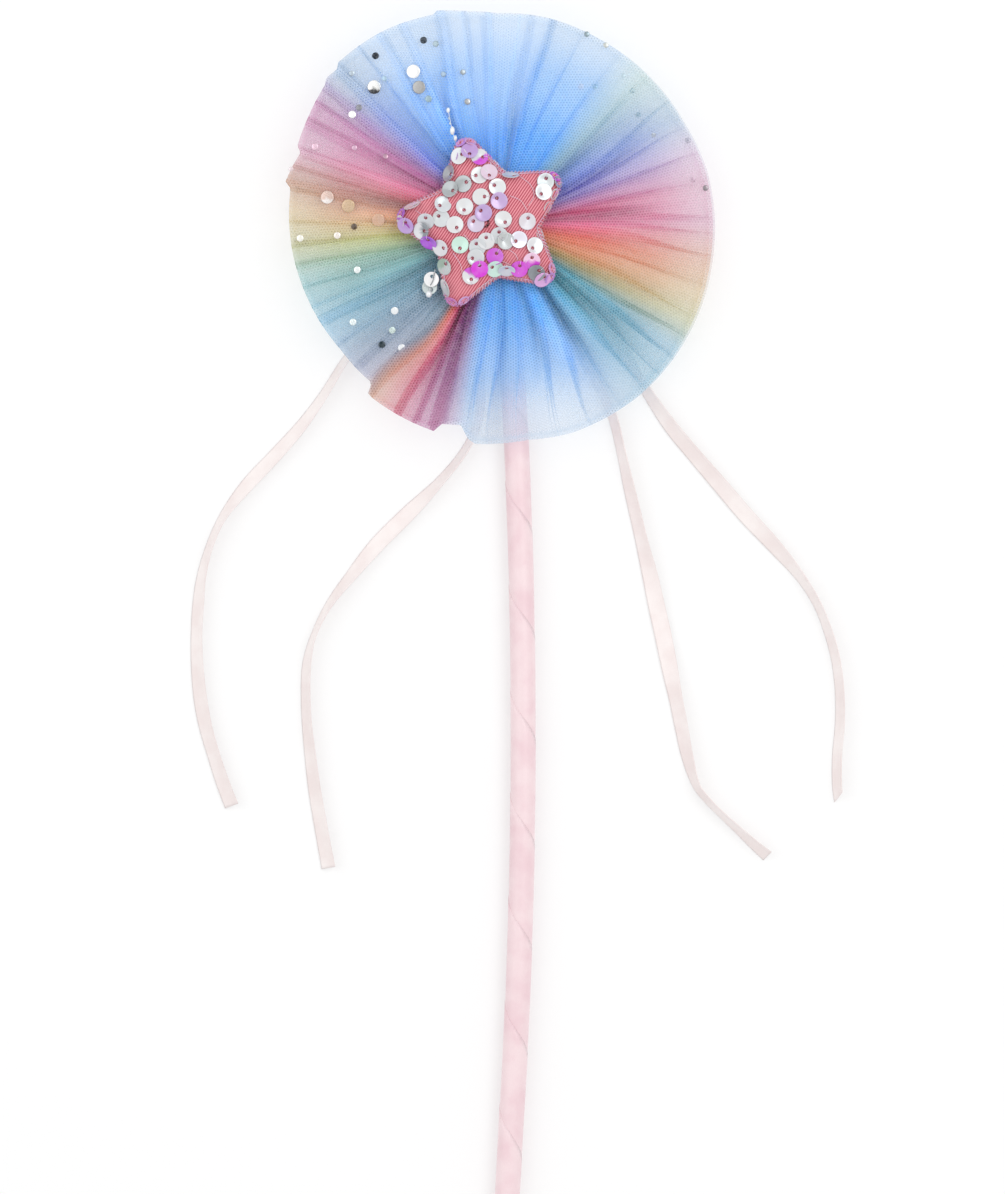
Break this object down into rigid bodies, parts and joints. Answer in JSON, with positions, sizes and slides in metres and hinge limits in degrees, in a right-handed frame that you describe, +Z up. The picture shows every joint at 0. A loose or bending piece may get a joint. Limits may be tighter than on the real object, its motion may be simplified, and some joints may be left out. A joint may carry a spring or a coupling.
{
  "type": "fairy ribbon wand",
  "caption": "Bowed satin-wrapped stick with a round gathered rainbow tulle rosette, a padded sequined star at its centre and loose satin ribbon streamers.",
  "frame": {"origin": "centre of the wand's box without its loose ribbons, on the table it lies on: under the middle of its length and width", "axes": "+Y from the stick's grip end to the head, +Z up out of the star's front, +X to the right seen from the star's front"},
  "size_m": [0.1899, 0.3521, 0.0216],
  "materials": {
    "dowel_wood": "satin",
    "satin_wrap": "satin",
    "backing_felt": "matte",
    "hot_glue": "satin",
    "tulle_back": "matte",
    "tulle_middle": "matte",
    "tulle_front": "matte",
    "tulle_glitter": "matte",
    "thread": "satin",
    "confetti_pearl": "gloss",
    "confetti_silver": "gloss",
    "star_felt": "matte",
    "wadding": "matte",
    "star_twill": "matte",
    "clear_thread": "gloss",
    "sequin_white": "gloss",
    "sequin_lilac": "gloss",
    "sequin_magenta": "gloss",
    "sequin_silver": "gloss",
    "bead_silver": "gloss",
    "ribbon_satin": "satin"
  },
  "bodies": {
    "wand": {"dowel": "dowel_wood", "stick_wrap": "satin_wrap", "wrap_end_tuck": "satin_wrap", "backing_disc": "backing_felt", "stick_glue": "hot_glue", "hub_glue": "hot_glue", "tulle_back_layer": "tulle_back", "tulle_middle_layer": "tulle_middle", "tulle_front_layer": "tulle_front", "glitter_tulle_layer": "tulle_glitter", "gathering_thread": "thread", "confetti_large": "confetti_silver", "confetti_small": "confetti_pearl", "star_back_felt": "star_felt", "star_pad": "wadding", "star_cover": "star_twill", "star_edge_thread": "clear_thread", "sequins_white": "sequin_white", "sequins_lilac": "sequin_lilac", "sequins_magenta": "sequin_magenta", "sequins_silver": "sequin_silver", "sequin_threads": "clear_thread", "dangling_beads": "bead_silver", "streamer_stitches": "thread"},
    "streamer_left_outer": {"streamer_left_outer": "ribbon_satin"},
    "streamer_left_inner": {"streamer_left_inner": "ribbon_satin"},
    "streamer_right_inner": {"streamer_right_inner": "ribbon_satin"},
    "streamer_right_outer": {"streamer_right_outer": "ribbon_satin"}
  },
  "joints": [
    {"name": "left_outer_swing", "type": "hinge", "parent": "wand", "child": "streamer_left_outer", "pos_m": [-0.016, 0.108, 0.00703], "axis": [0, 0, 1], "range_deg": [-12, 2]},
    {"name": "left_inner_swing", "type": "hinge", "parent": "wand", "child": "streamer_left_inner", "pos_m": [-0.0095, 0.1, 0.00703], "axis": [0, 0, 1], "range_deg": [-3, 4]},
    {"name": "right_inner_swing", "type": "hinge", "parent": "wand", "child": "streamer_right_inner", "pos_m": [0.012, 0.1005, 0.00703], "axis": [0, 0, 1], "range_deg": [-8, 3]},
    {"name": "right_outer_swing", "type": "hinge", "parent": "wand", "child": "streamer_right_outer", "pos_m": [0.0175, 0.1095, 0.00703], "axis": [0, 0, 1], "range_deg": [-3, 12]}
  ]
}
